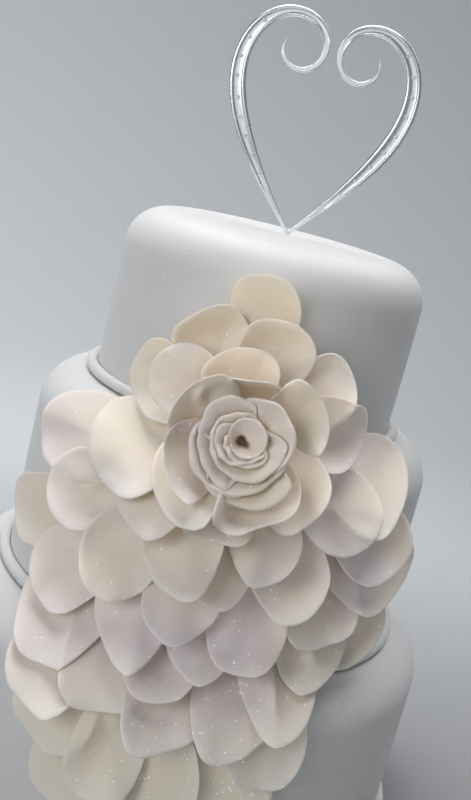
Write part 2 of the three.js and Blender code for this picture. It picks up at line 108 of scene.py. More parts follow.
# The chance curl and fold of most petals, and the petals that are curled or folded in a way of their own
CHANCE_CURL = (0.3, 1.5)
CHANCE_FOLDS = (-1.0, 0.0, 0.6, 1.0)
OWN_SHAPES = {
    "petal_ring_1": {"curl": 0.7, "fold": 0.8},
    "petal_ring_2": {"curl": 1.8, "fold": -0.9},
    "petal_ring_6": {"curl": 2.3, "fold": 0.0},
    "petal_collar_1": {"curl": 1.0, "fold": 1.2},
    "petal_spread_4": {"curl": 1.6, "fold": 0.0},
    "petal_spread_7": {"curl": 1.1, "fold": -1.0},
    "petal_fall_1": {"curl": 2.0, "fold": -0.7},
    "petal_skirt_3": {"curl": 1.1, "fold": 1.4},
    "petal_skirt_6": {"curl": 2.2, "fold": -1.1},
    "petal_trail_1": {"curl": 1.5, "fold": 0.0},
    "petal_trail_2": {"curl": 1.3, "fold": 0.0},
    "petal_trail_4": {"curl": 1.2, "fold": 0.9},
    "petal_hem_7": {"curl": 2.0, "fold": 1.1},
}
SHEET_AIR = 0.15 * MM
LAY_PASSES = 30
MAP_CELL = 0.5 * MM
MAP_FINER = 3
# Seed of the random draws for the petals and the rolled petals
RANDOM_SEED = 11

# The rose's heart: its mouth is at the rose's centre, seen from the front, and it leans up at the viewer
ROSE_CENTRE = Vector((4 * MM, 0, 225 * MM))
ROSE_TILT = 13
HEART_HEIGHT = 16 * MM
HEART_SHIFT = Vector((0.2 * MM, 0, 1.8 * MM))
BUD_ROOT = 3 * MM
# The bud: its hole and its core as distances and heights (mm) from its top, its face as shares of the way out
# to its lip, and the lip's distances from the hole every 45 degrees as seen, anticlockwise from the right
BUD_HOLE = ((1.5, -12.0), (1.8, -9.0), (2.1, -6.6), (2.5, -5.2), (3.1, -4.1))
BUD_FACE = (
    (0.15, -3.1), (0.35, -2.2), (0.6, -1.1), (0.82, -0.25),
    (0.93, 0.0), (1.0, -0.5), (0.99, -1.2), (0.85, -4.4))
BUD_WAVE = {"height": 0.2, "count": 3, "phase": 60}
BUD_FURROW = {"seen": 322, "width": 26, "reach": 0.9, "sink": 1.6}
BUD_CORE = ((7.0, -4.6), (12.0, -6.2), (15.0, -8.0), (12.0, -11.0), (3.0, -16.0))
BUD_LIP = (11.0, 11.0, 9.6, 6.6, 4.6, 5.2, 6.8, 9.0)
BUD_AROUND = 96
# What toward_rim holds on the bud, which sets how pale its face is: partly the paste's own tone, partly a
# painted highlight. Below 0 is painted dark brown shade deep in its hole, which fades with the rows
BUD_SHADES = {"face": 0.25, "core": 0.0}
BUD_HOLE_SHADE = {"deepest": 1.2, "rows": 3}
# Petals rolled round the bud. Each is its name, the bearing of its first end and the bearings that it spans
# as they are seen, its lip's distances from the hole (mm) at even steps, how far that lies below the bud's
# top and how far it turns out (mm)
ROLLED_PETALS = (
    ("first", 146, 199, (7.2, 6.8, 7.2, 8.6, 9.6, 10.6, 11.6), 0.2, 0.45),
    ("second", 112, 232, (10.6, 10.6, 10.9, 10.3, 10.6, 12.2, 13.9), 0.4, 0.5),
    ("third", 40, 344, (12.0, 11.8, 12.5, 12.9, 13.2, 15.6, 18.0, 19.0, 18.6), 0.7, 0.6),
    ("fourth", 56, 122, (14.0, 17.2, 19.2, 19.6, 18.4, 17.0), 1.1, 0.7),
    ("fifth", -52, 146, (19.6, 20.2, 22.8, 21.8, 21.0, 19.0, 17.0), 1.3, 0.8),
    ("sixth", 148, 116, (18.4, 17.6, 17.8, 19.0, 20.6, 21.0), 1.5, 0.7),
    ("seventh", 222, 122, (23.0, 23.2, 22.2, 21.6, 21.4, 20.8), 1.8, 0.7),
    ("eighth", 150, 122, (19.6, 21.2, 22.4, 22.8, 23.8, 24.8), 2.5, 0.9),
    ("ninth", 228, 100, (24.4, 25.4, 27.4, 29.2, 29.8, 26.0), 2.8, 1.0),
)
ROLLED_STEPS = 90
ROLLED_LEVELS = 20
ROLLED_SHEET = {"root": 0.9 * MM, "lip": 0.6 * MM}
# Waves of a lip out from the hole and up, as counts and heights (mm)
LIP_WAVES_OUT = ((5, 0.3), (11, 0.2))
LIP_WAVES_UP = ((3, 0.45), (8, 0.3))
# Where a rolled petal's ends begin to sink and to tuck under, as shares of the way from its middle to an end
END_SINKS_FROM = 0.66
END_TUCKS_FROM = 0.8
END_FLARE = 0.5
LIP_CLEARANCE = 0.5
LIP_TURN = 100
LIP_UNDERCUT = 1.3
LIP_DEPTH = 5.6
LIP_CURVE = 1.5
LIP_LEVEL = 0.7
LIP_SINK = 1.8

# The topper's stroke, as the solid's
STROKE_LENGTH = 200 * MM
STROKE_STEPS = 220
STROKE_HEADING = 49
STROKE_BEND = {"gentlest": 1.0, "tightest": 120.0, "power": 2.2}
STROKE_WIDTH = {"thinnest": 2.2 * MM, "widest": 9 * MM, "swell_at": 0.36, "point": 0.2, "point_length": 0.05}
STROKE_DEPTH = 3.2 * MM
STROKE_THINS_BELOW = 2.2 * MM
# The section's front from its outer edge to the channel, as shares of its half width and its depth
STROKE_FRONT = ((1.0, 0.0), (0.97, 0.45), (0.88, 0.78), (0.74, 0.97), (0.62, 1.0), (0.54, 0.95))
# The back is shallower, with only its middle point inside this share of the half width
STROKE_BACK = {"depth": 0.8, "bare_inside": 0.5}
# The channel comes in from one half width over another (mm). The rest are shares
CHANNEL = {"from": 1.6, "over": 1.6, "sink": 0.45, "slope_at": 0.47, "slope": 0.8, "floor_at": 0.4}
STONES = {"count": 9, "from": 0.17, "to": 0.58, "radius": 1.15 * MM, "share": 0.26, "sides": 8}
# A stone's rings, as shares of its radius and distances out (mm)
STONE_RINGS = ((1.0, 0.5), (1.0, 0.95), (0.6, 1.55))

# The studio round the cake
STUDIO = {"floor": 0.9, "floor_steps": 6, "bend": 0.7, "height": 1.8, "steps": 12, "around": 64}

# Lights: name, place, width, power and colour
LIGHT_AIM = (0, 0, 0.2)
LIGHTS = (
    ("overhead", (0.0, 0.1, 1.5), 1.2, 14.0, (1.0, 0.99, 0.98)),
    ("behind_left", (-0.5, 0.45, 1.3), 0.7, 6.0, (0.98, 0.99, 1.0)),
    ("behind_right", (0.6, 0.9, 1.2), 0.8, 2.4, (0.98, 0.99, 1.0)),
    ("left_of_camera", (-0.7, -1.1, 0.6), 0.7, 4.8, (0.97, 0.98, 1.0)),
    ("beside_camera", (0.0, -1.3, 0.5), 0.8, 1.0, (0.98, 0.99, 1.0)),
)
ROOM = {"Color": (0.95, 0.97, 1.0, 1), "Strength": 0.02}

# Colours. A pair is mixed by a noise
# Black where no glitter flake is; a flake's glow, here and below, is a painted glint that shines without a
# lamp
NO_PAINTED_GLINT = (0, 0, 0, 1)
ICING = ((0.70, 0.70, 0.70, 1), (0.74, 0.74, 0.74, 1))
ICING_FLAKE = {"colour": (0.95, 0.95, 0.97, 1), "painted_glint": (0.97, 0.98, 1.0, 1)}
PASTE = ((0.90, 0.76, 0.615, 1), (0.94, 0.835, 0.73, 1))
PASTE_IVORY = (0.90, 0.815, 0.63, 1)
PASTE_LILAC = (0.91, 0.775, 0.80, 1)
# Paler rims: partly the paste's own paler tone, partly a painted highlight
PASTE_PALE_HIGHLIT_RIM = (0.95, 0.91, 0.88, 1)
# Painted warm shade, deep between the petals and in the rose's folds
PASTE_CREVICE_SHADE = (0.85, 0.74, 0.53, 1)
# Painted dark brown shade deep in the bud's hole
PASTE_HOLE_SHADE = (0.46, 0.32, 0.22, 1)
PASTE_FLAKE = {"colour": (0.95, 0.93, 0.95, 1), "painted_glint": (1.0, 0.97, 0.98, 1)}
SILVER_PLATE = ((0.74, 0.765, 0.80, 1), (0.84, 0.86, 0.89, 1))
# Painted glints: a stone's small cells turn from grey to white
STONE_PAINTED_GLINTS = ((0.55, 0.58, 0.62, 1), (0.98, 0.98, 1.0, 1))
# Painted shade on the wall: lighter at the left, darker at the right
PAPER_WALL_LIT_TO_SHADED = ((0.72, 0.74, 0.765, 1), (0.46, 0.48, 0.505, 1))
# Painted shade on the floor: darker near the cake, lighter further out
PAPER_FLOOR_SHADED_NEAR = ((0.26, 0.265, 0.275, 1), (0.38, 0.39, 0.40, 1))
PAPER_FIBRE = (0.6, 0.62, 0.65, 1)

# Ranges for the materials: from one value to another, and what these two become
FLAKE_PATCHES = (0.42, 0.66, 0.15, 1.0)
FLAKES_LOW_RIGHT = (-0.11, -0.03, 1.0, 6.0)
FLAKE_RADIUS = 0.42
ICING_POLISH = (0.3, 0.7, 0.44, 0.56)
LILAC_ABOVE = (0.07, 0.13, 0.15, 1.0)
LILAC_BELOW = (0.19, 0.27, 1.0, 0.05)
LILAC_PATCHES = (0.4, 0.58, 0.0, 0.9)
IVORY_OUTSIDE_LILAC = (0.0, 1.0, 0.65, 0.0)
CREVICE_SHADE_RANGE = (0.1, 0.5, 0.6, 0.0)
HOLE_SHADE_RANGE = (-1.0, 0.0, 1.0, 0.0)
CLOUD_SHARE = 0.7
RIM_PALE_HIGHLIGHT = {"power": 3.0, "share": 0.5}
SILVER_ROUGHNESS = (0.3, 0.7, 0.22, 0.32)
STONE_ROUGHNESS = (0.0, 1.0, 0.03, 0.1)
WALL_SHADE_ACROSS = (-0.7, 0.7, 0.0, 1.0)
WALL_BEHIND = {"From Min": -0.05, "From Max": 0.5}
FLOOR_SHADE_OUTWARDS = (0.5, 1.0, 0.0, 1.0)
FIBRE_SHARE = 0.1


def smooth_step(t):
    t = min(1.0, max(0.0, t))
    return t * t * (3 - 2 * t)


def mix(a, b, share):
    return a + (b - a) * share


def curve_between(p0, p1, p2, p3, t):
    """Smooth curve from p1 to p2, read at t, where p0 comes before them and p3 after."""
    square = 2 * p0 - 5 * p1 + 4 * p2 - p3
    cube = 3 * p1 - p0 - 3 * p2 + p3
    return 0.5 * (2 * p1 + (p2 - p0) * t + square * t**2 + cube * t**3)


# Node helpers
def set_socket(tree, socket, value):
    """Links a socket to another, or sets its value."""
    if isinstance(value, bpy.types.NodeSocket):
        tree.links.new(value, socket)
    else:
        socket.default_value = value


def set_inputs(tree, made, inputs):
    for name, value in inputs.items():
        set_socket(tree, made.inputs[name], value)


def add_node(tree, kind, inputs=None, **settings):
    made = tree.nodes.new(kind)
    for name, value in settings.items():
        setattr(made, name, value)
    set_inputs(tree, made, inputs or {})
    return made


def math_node(tree, operation, a, b=0.0, clamp=False):
    return add_node(tree, "ShaderNodeMath", {0: a, 1: b}, operation=operation, use_clamp=clamp).outputs[0]


def mix_colours(tree, factor, a, b):
    made = add_node(tree, "ShaderNodeMix", data_type="RGBA")
    set_inputs(tree, made, {"Factor": factor})
    for socket, value in zip([s for s in made.inputs if s.type == "RGBA"], (a, b)):
        set_socket(tree, socket, value)
    return next(s for s in made.outputs if s.type == "RGBA")


def map_range(tree, value, low, high, to_low, to_high):
    inputs = {"Value": value, "From Min": low, "From Max": high, "To Min": to_low, "To Max": to_high}
    return add_node(tree, "ShaderNodeMapRange", inputs).outputs["Result"]


def new_group(name, inputs, outputs):
    group = bpy.data.node_groups.new(name, "ShaderNodeTree")
    for title, kind, default in inputs:
        socket = group.interface.new_socket(title, in_out="INPUT", socket_type=kind)
        socket.default_value = default
    for title, kind in outputs:
        group.interface.new_socket(title, in_out="OUTPUT", socket_type=kind)
    return group, add_node(group, "NodeGroupInput"), add_node(group, "NodeGroupOutput")


def place_group(tree, group, inputs):
    return add_node(tree, "ShaderNodeGroup", inputs, node_tree=group)


def own_place(tree):
    """Each point's place in the piece's own frame."""
    return add_node(tree, "ShaderNodeTexCoord").outputs["Object"]


def noise_node(tree, place, scale, detail=2.0):
    inputs = {"Vector": place, "Scale": scale, "Detail": detail}
    return add_node(tree, "ShaderNodeTexNoise", inputs).outputs["Fac"]


def bump_normal(tree, height, strength, distance):
    inputs = {"Strength": strength, "Distance": distance, "Height": height}
    return add_node(tree, "ShaderNodeBump", inputs).outputs["Normal"]


def make_relief_group():
    """Height of hand-smoothed sugar: broad dents, and a fine powdery grain."""
    sockets = [("Dent Scale", "NodeSocketFloat", 30.0), ("Grain Scale", "NodeSocketFloat", 900.0),
               ("Grain Share", "NodeSocketFloat", 0.2)]
    group, given, result = new_group("sugar relief", sockets, [("Height", "NodeSocketFloat")])
    place = own_place(group)
    dents = noise_node(group, place, given.outputs["Dent Scale"], 3.0)
    grain = noise_node(group, place, given.outputs["Grain Scale"])
    fine = math_node(group, "MULTIPLY", grain, given.outputs["Grain Share"])
    group.links.new(math_node(group, "ADD", dents, fine), result.inputs["Height"])
    return group


def make_glitter_group():
    """Scattered flakes of edible glitter, in patches, and most at the cake's lower right."""
    sockets = [("Flake Scale", "NodeSocketFloat", 1500.0), ("Amount", "NodeSocketFloat", 0.02),
               ("Patch Scale", "NodeSocketFloat", 12.0)]
    group, given, result = new_group("edible glitter", sockets, [("Mask", "NodeSocketFloat")])
    place = own_place(group)
    flakes = add_node(group, "ShaderNodeTexVoronoi", {"Vector": place, "Scale": given.outputs["Flake Scale"]})
    chance = add_node(group, "ShaderNodeSeparateColor", {"Color": flakes.outputs["Color"]}).outputs["Red"]
    patch = map_range(group, noise_node(group, place, given.outputs["Patch Scale"]), *FLAKE_PATCHES)
    parts = add_node(group, "ShaderNodeSeparateXYZ", {"Vector": place}).outputs
    low_right = math_node(group, "SUBTRACT", parts["X"], parts["Z"])
    patch = math_node(group, "MULTIPLY", patch, map_range(group, low_right, *FLAKES_LOW_RIGHT))
    limit = math_node(group, "SUBTRACT", 1.0, math_node(group, "MULTIPLY", given.outputs["Amount"], patch))
    chosen = math_node(group, "GREATER_THAN", chance, limit)
    inside = math_node(group, "LESS_THAN", flakes.outputs["Distance"], FLAKE_RADIUS)
    group.links.new(math_node(group, "MULTIPLY", chosen, inside), result.inputs["Mask"])
    return group


RELIEF = make_relief_group()
GLITTER = make_glitter_group()


def new_material(name, sockets):
    material = bpy.data.materials.new(name)
    material.use_nodes = True
    shader = material.node_tree.nodes["Principled BSDF"]
    set_inputs(material.node_tree, shader, sockets)
    return material, material.node_tree, shader


def make_fondant():
    """White rolled fondant: satin, faintly uneven, and lightly dusted with glitter whose flakes glow as
    painted glints.
    """
    material, tree, shader = new_material("white rolled fondant", {
        "Subsurface Weight": 0.12, "Subsurface Radius": (1.0, 0.9, 0.8), "Subsurface Scale": 0.004,
        "Specular IOR Level": 0.35, "Sheen Weight": 0.08, "Sheen Roughness": 0.5,
        "Emission Strength": 0.3})
    glitter = place_group(tree, GLITTER, {"Flake Scale": 1400.0, "Amount": 0.003, "Patch Scale": 9.0})
    relief = place_group(tree, RELIEF, {"Dent Scale": 24.0, "Grain Scale": 1400.0, "Grain Share": 0.05})
    cloud = noise_node(tree, own_place(tree), 11.0, 3.0)
    icing = mix_colours(tree, cloud, *ICING)
    flaked = mix_colours(tree, glitter.outputs["Mask"], icing, ICING_FLAKE["colour"])
    # Painted glints: the glitter flakes glow, though they are no lamp
    painted_glints = mix_colours(tree, glitter.outputs["Mask"], NO_PAINTED_GLINT, ICING_FLAKE["painted_glint"])
    set_inputs(tree, shader, {
        "Base Color": flaked, "Roughness": map_range(tree, cloud, *ICING_POLISH), "Emission Color": painted_glints,
        "Normal": bump_normal(tree, relief.outputs["Height"], strength=0.12, distance=0.002)})
    return material


def make_petal_paste():
    """Thin ivory sugar paste with a lilac lustre, warm and deep between the petals as painted shade, with
    painted dark brown shade deep in the bud's hole, rims whiter partly by the paste's own tone and partly by
    a painted highlight, and glitter flakes with painted glints.
    """
    material, tree, shader = new_material("ivory petal paste", {
        "Subsurface Weight": 0.3, "Subsurface Radius": (1.0, 0.75, 0.55), "Subsurface Scale": 0.003,
        "Specular IOR Level": 0.3, "Sheen Weight": 0.1, "Sheen Roughness": 0.45, "Roughness": 0.56,
        "Emission Strength": 0.45})
    glitter = place_group(tree, GLITTER, {"Flake Scale": 1250.0, "Amount": 0.01, "Patch Scale": 15.0})
    relief = place_group(tree, RELIEF, {"Dent Scale": 70.0, "Grain Scale": 1800.0, "Grain Share": 0.12})
    place = own_place(tree)
    chance = add_node(tree, "ShaderNodeObjectInfo").outputs["Random"]
    own = math_node(tree, "MULTIPLY", chance, 1 - CLOUD_SHARE)
    cloud = math_node(tree, "MULTIPLY", noise_node(tree, place, 22.0), CLOUD_SHARE)
    paste = mix_colours(tree, math_node(tree, "ADD", cloud, own), *PASTE)
    height = add_node(tree, "ShaderNodeSeparateXYZ", {"Vector": place}).outputs["Z"]
    above = map_range(tree, height, *LILAC_ABOVE)
    band = math_node(tree, "MULTIPLY", above, map_range(tree, height, *LILAC_BELOW))
    lustre = map_range(tree, noise_node(tree, place, 14.0, 1.0), *LILAC_PATCHES)
    ivory = mix_colours(tree, map_range(tree, band, *IVORY_OUTSIDE_LILAC), paste, PASTE_IVORY)
    dusted = mix_colours(tree, math_node(tree, "MULTIPLY", lustre, band), ivory, PASTE_LILAC)
    rim = add_node(tree, "ShaderNodeAttribute", attribute_name="toward_rim").outputs["Fac"]
    # Paler towards the rims: partly the paste's own tone, partly a painted highlight
    edge = math_node(tree, "POWER", rim, RIM_PALE_HIGHLIGHT["power"])
    pale_and_highlit = math_node(tree, "MULTIPLY", edge, RIM_PALE_HIGHLIGHT["share"], clamp=True)
    rims_pale_highlit = mix_colours(tree, pale_and_highlit, dusted, PASTE_PALE_HIGHLIT_RIM)
    # Painted warm shade where the occlusion node finds the paste closed in, between petals and in the rose's
    # folds
    open_air = add_node(tree, "ShaderNodeAmbientOcclusion", {"Distance": 0.014}, samples=6).outputs["AO"]
    crevice_shaded = mix_colours(tree, map_range(tree, open_air, *CREVICE_SHADE_RANGE), rims_pale_highlit, PASTE_CREVICE_SHADE)
    # Painted dark brown shade deep in the bud's hole
    hole_shaded = mix_colours(tree, map_range(tree, rim, *HOLE_SHADE_RANGE), crevice_shaded, PASTE_HOLE_SHADE)
    flaked = mix_colours(tree, glitter.outputs["Mask"], hole_shaded, PASTE_FLAKE["colour"])
    # Painted glints: the glitter flakes glow, though they are no lamp
    painted_glints = mix_colours(tree, glitter.outputs["Mask"], NO_PAINTED_GLINT, PASTE_FLAKE["painted_glint"])
    set_inputs(tree, shader, {
        "Base Color": flaked, "Emission Color": painted_glints,
        "Normal": bump_normal(tree, relief.outputs["Height"], strength=0.25, distance=0.001)})
    return material


def make_silver():
    """Polished silver plate with faint hazing."""
    material, tree, shader = new_material("polished silver plate", {"Metallic": 1.0})
    haze = noise_node(tree, own_place(tree), 120.0, 3.0)
    set_inputs(tree, shader, {
        "Base Color": mix_colours(tree, haze, *SILVER_PLATE),
        "Roughness": map_range(tree, haze, *SILVER_ROUGHNESS),
        "Normal": bump_normal(tree, haze, strength=0.02, distance=0.001)})
    return material


def make_crystal():
    """Clear cut stone over a bright foil, with painted glints: small cells that turn from grey to white."""
    material, tree, shader = new_material("clear cut stone", {"Coat Weight": 1.0, "IOR": 1.9})
    cells = {"Vector": own_place(tree), "Scale": 1600.0}
    # Painted glints: cells the size of the facets turn from grey to white
    glint_cells = add_node(tree, "ShaderNodeTexVoronoi", cells).outputs["Color"]
    light = add_node(tree, "ShaderNodeSeparateColor", {"Color": glint_cells}).outputs["Green"]
    set_inputs(tree, shader, {
        "Base Color": mix_colours(tree, light, *STONE_PAINTED_GLINTS),
        "Roughness": map_range(tree, light, *STONE_ROUGHNESS)})
    return material


FONDANT = make_fondant()
PETAL_PASTE = make_petal_paste()
SILVER = make_silver()
CRYSTAL = make_crystal()


# Mesh helpers
def make_piece(name, points, faces, material, nodes, attribute=None):
    """A smooth mesh that rides on the cake and stands for the given solids."""
    mesh = bpy.data.meshes.new(name)
    mesh.from_pydata([tuple(p) for p in points], [], faces)
    mesh.polygons.foreach_set("use_smooth", [True] * len(mesh.polygons))
    if attribute is not None:
        layer = mesh.attributes.new("toward_rim", "FLOAT", "POINT")
        layer.data.foreach_set("value", np.asarray(attribute, dtype=np.float32))
    mesh.materials.append(material)
    mesh.validate()
    mesh.update()
    piece = bpy.data.objects.new(name, mesh)
    bpy.context.scene.collection.objects.link(piece)
    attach(piece, "root")
    if nodes:
        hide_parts(*nodes)
    return piece


def grid_faces(rows, columns, closed_rows=False):
    """Quads over a grid of points held row by row, where each row is a closed ring."""
    faces = []
    for r in range(rows if closed_rows else rows - 1):
        for c in range(columns):
            here = r * columns + c
            beside = r * columns + (c + 1) % columns
            below = ((r + 1) % rows) * columns + c
            faces.append((here, beside, ((r + 1) % rows) * columns + (c + 1) % columns, below))
    return faces


def cap_faces(rows, columns, first, last):
    """Fans that close the first and the last row of a grid, each onto the point of the given number."""
    end = (rows - 1) * columns
    faces = []
    for i in range(columns):
        beside = (i + 1) % columns
        faces.append((first, beside, i))
        faces.append((last, end + i, end + beside))
    return faces


def turned_over(faces):
    return [tuple(reversed(face)) for face in faces]


def turned_surface(profile, around, swell):
    """Points of a profile of (radius, height) pairs turned about the cake's axis, each moved by its swell."""
    points = []
    for radius, height in profile:
        for i in range(around):
            angle = 2 * math.pi * i / around
            point = Vector((radius * math.cos(angle), radius * math.sin(angle), height))
            points.append(point + swell(point))
    return points


def icing_swell(point, middle):
    """Slow unevenness of the icing, along the direction away from the tier's middle."""
    away = (point - middle).normalized()
    return away * ICING_SWELL["height"] * noise.noise(point * ICING_SWELL["scale"])


def make_tier(name):
    """Fondant over one tier: straight sides, a soft round edge and a nearly flat top."""
    node = f"tier_{name}"
    low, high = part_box(node)
    radius = high.x
    foot, top = low.z, high.z
    profile = [(radius * i / TIER_FOOT_STEPS, foot) for i in range(1, TIER_FOOT_STEPS)]
    profile += [(radius - TIER_FOOT_CHAMFER, foot), (radius, foot + TIER_FOOT_CHAMFER)]
    for i in range(1, TIER_SIDE_STEPS):
        profile.append((radius, mix(foot + TIER_FOOT_CHAMFER, top - TIER_EDGE, i / TIER_SIDE_STEPS)))
    for i in range(TIER_EDGE_STEPS + 1):
        angle = math.radians(90 * i / TIER_EDGE_STEPS)
        profile.append((radius - TIER_EDGE * (1 - math.cos(angle)), top - TIER_EDGE * (1 - math.sin(angle))))
    flat = radius - TIER_EDGE
    profile += [(flat * (1 - i / TIER_TOP_STEPS), top) for i in range(1, TIER_TOP_STEPS)]
    middle = Vector((0, 0, (foot + top) / 2))

    def swell(point):
        if point.z < foot + 2 * TIER_FOOT_CHAMFER:
            return Vector((0, 0, 0))
        return icing_swell(point, middle)

    points = turned_surface(profile, TIER_AROUND, swell)
    faces = grid_faces(len(profile), TIER_AROUND)
    faces += cap_faces(len(profile), TIER_AROUND, len(points), len(points) + 1)
    points += [Vector((0, 0, foot)), Vector((0, 0, top))]
    make_piece(f"fondant_{name}", points, faces, FONDANT, [node])


def make_rope(name):
    """The rolled fondant rope round a tier's foot, a little thicker here and there."""
    node = f"rope_{name}"
    low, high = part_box(node)
    half = (high.z - low.z) / 2
    radius = high.x - half
    height = (high.z + low.z) / 2
    points = []
    for i in range(ROPE_AROUND):
        angle = 2 * math.pi * i / ROPE_AROUND
        outward = Vector((math.cos(angle), math.sin(angle), 0))
        centre = outward * radius + Vector((0, 0, height))
        swell = noise.noise(centre * ROPE_SWELL["scale"]) - ROPE_SWELL["inset"]
        thick = half + ROPE_SWELL["height"] * swell
        for k in range(ROPE_SIDES):
            turn = 2 * math.pi * k / ROPE_SIDES
            points.append(centre + outward * thick * math.cos(turn) + Vector((0, 0, thick * math.sin(turn))))
    faces = turned_over(grid_faces(ROPE_AROUND, ROPE_SIDES, closed_rows=True))
    make_piece(f"fondant_rope_{name}", points, faces, FONDANT, [node])


# Petals
def petal_knots(node):
    """The front of a petal's solid, as an array of rings by directions: the middle, two rings and the rim."""
    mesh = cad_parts[node].data
    places = [tuple(v.co) for v in mesh.vertices]
    keys = [(round(x / MM * KEYS_PER_MM), round(z / MM * KEYS_PER_MM)) for x, _, z in places]
    front = {}
    for key, (_, y, _) in zip(keys, places):
        front[key] = min(y, front.get(key, y))
    spots = {}
    touching = {}
    for key, place in zip(keys, places):
        if place[1] <= front[key] + SAME_PLACE:
            spots[key] = np.array(place)
    for face in mesh.polygons:
        corners = [(keys[i], places[i][1]) for i in face.vertices]
        if all(y <= front[key] + SAME_PLACE for key, y in corners):
            names = [key for key, _ in corners]
            for key in names:
                touching.setdefault(key, set()).update(names)
    middle = max(touching, key=lambda key: len(touching[key]))
    rings = []
    seen = {middle}
    edge = {middle}
    while True:
        edge = set().union(*(touching[key] for key in edge)) - seen
        if not edge:
            break
        seen |= edge
        rings.append(sorted(edge, key=lambda key: math.atan2(key[1] - middle[1], key[0] - middle[0])))
    if len(rings) != len(PETAL_SHARES) - 1 or any(len(ring) != PETAL_SOLID_AROUND for ring in rings):
        raise SystemExit(f"{node} isn't a petal of {PETAL_SOLID_AROUND} directions")
    return np.array([[spots[middle]] * PETAL_SOLID_AROUND] + [[spots[key] for key in ring] for ring in rings])


def spread_round(ring, count):
    """A closed ring of points, smoothly filled in to a larger count."""
    known = len(ring)
    steps = np.arange(count) * known / count
    base = np.floor(steps).astype(int)
    t = (steps - base)[:, None]
    p0, p1, p2, p3 = (ring[(base + k) % known] for k in (-1, 0, 1, 2))
    return curve_between(p0, p1, p2, p3, t)


def fill_across(knots, shares, wanted):
    """Smooth curve through the knots at the given shares, read at the wanted shares."""
    inner = range(1, len(shares) - 1)
    slopes = [(knots[i + 1] - knots[i - 1]) / (shares[i + 1] - shares[i - 1]) for i in inner]
    slopes.append((knots[-1] - knots[-2]) / (shares[-1] - shares[-2]))
    rows = []
    for s in wanted:
        i = next(k for k in inner if s <= shares[k + 1])
        width = shares[i + 1] - shares[i]
        t = (s - shares[i]) / width
        near, far = slopes[i - 1] * width, slopes[i] * width
        rows.append((2 * t**3 - 3 * t**2 + 1) * knots[i] + (t**3 - 2 * t**2 + t) * near
                    + (3 * t**2 - 2 * t**3) * knots[i + 1] + (t**3 - t**2) * far)
    return np.array(rows)


def sheet_normals(grid):
    """Normals of a sheet of rings by directions, towards the front."""
    along = np.gradient(grid, axis=0)
    ahead = np.roll(grid, -1, axis=1) - np.roll(grid, 1, axis=1)
    normals = np.cross(ahead, along)
    lengths = np.linalg.norm(normals, axis=2, keepdims=True)
    normals = normals / np.maximum(lengths, 1e-12)
    normals[0] = normals[1].mean(axis=0)
    flip = np.where(normals[..., 1:2] > 0, -1.0, 1.0)
    return normals * flip


def rim_wave(rng, counts):
    """A wave round a petal, of several lengths at random phases."""
    angle = np.arange(PETAL_AROUND) * 2 * math.pi / PETAL_AROUND
    waves = [np.sin(count * angle + rng.uniform(0, 2 * math.pi)) for count in counts]
    return sum(waves) / math.sqrt(len(counts))


def petal_fold(rng, outward, from_rose):
    """How near each direction is to a soft fold, which runs from the petal's middle to beside its tip."""
    tip = outward[np.argmax(from_rose)]
    turn = rng.uniform(-PETAL_FOLD["turn"], PETAL_FOLD["turn"])
    sine, cosine = math.sin(turn), math.cos(turn)
    aim = np.array([tip[0] * cosine - tip[2] * sine, 0, tip[0] * sine + tip[2] * cosine])
    apart = np.arccos(np.clip(outward @ aim / max(np.linalg.norm(aim), 1e-9), -1, 1))
    return np.exp(-((apart / PETAL_FOLD["width"]) ** 2))


def smooth_sheet(node, wanted):
    """A smooth sheet over the petal's solid, as rings by directions at the wanted shares of the way out."""
    rings = np.array([spread_round(ring, PETAL_AROUND) for ring in petal_knots(node)])
    opposite = np.roll(rings[1], PETAL_AROUND // 2, axis=0)
    lines = np.concatenate([opposite[None], rings])
    return fill_across(lines, (-PETAL_SHARES[1],) + PETAL_SHARES, wanted)


def petal_sheet(node, rng):
    """A fine sheet over the petal's solid, its rim waved and turned out. Returns its points, how near each is
    to the rim and the tip, and the rings' shares of the way out."""
    wanted = np.linspace(0, 1, PETAL_RINGS + 1) ** PETAL_SPACING
    grid = smooth_sheet(node, wanted)
    outward = grid[-1] - grid[0, 0]
    outward /= np.linalg.norm(outward, axis=1)[:, None]
    from_rose = np.linalg.norm(grid[-1] - np.array(ROSE_CENTRE), axis=1)
    tipward = np.clip((from_rose - from_rose.min()) / (from_rose.max() - from_rose.min()), 0, 1)
    waves = (PETAL_BEND, PETAL_RUFFLE, PETAL_FRILL, PETAL_WANDER)
    bend, ruffle, frill, wander = (rim_wave(rng, wave["counts"]) for wave in waves)
    own = {"curl": rng.uniform(*CHANCE_CURL), "fold": rng.choice(CHANCE_FOLDS)}
    own.update(OWN_SHAPES.get(node, {}))
    uneven = np.maximum(CURL_WAVE["least"], 1 + CURL_WAVE["height"] * rim_wave(rng, CURL_WAVE["counts"]))
    curl = own["curl"] * uneven * mix(ROSE_SIDE["curl"], 1, tipward)
    fold = own["fold"] * petal_fold(rng, outward, from_rose)
    waviness = mix(ROSE_SIDE["waviness"], 1, tipward)
    shapes = (
        (PETAL_BEND, bend), (PETAL_RUFFLE, ruffle * waviness), (PETAL_FRILL, frill * waviness),
        (PETAL_LIP, curl), (PETAL_FOLD, fold))
    for r, share in enumerate(wanted):
        lift = sum(shape["height"] * amount * share ** shape["power"] for shape, amount in shapes)
        rolled = max(0.0, (share - PETAL_ROLL["from"]) / (1 - PETAL_ROLL["from"]))
        edge = PETAL_WANDER["height"] * wander * share ** PETAL_WANDER["power"]
        grid[r] += outward * edge[:, None]
        grid[r, :, 1] -= lift - PETAL_ROLL["back"] * curl * rolled**2
    # near sets the pale rim, which is partly the paste's own tone and partly a painted highlight
    near = np.array([share * mix(ROSE_SIDE["pale_highlit_rim"], 1, tipward) for share in wanted])
    return grid, near, wanted


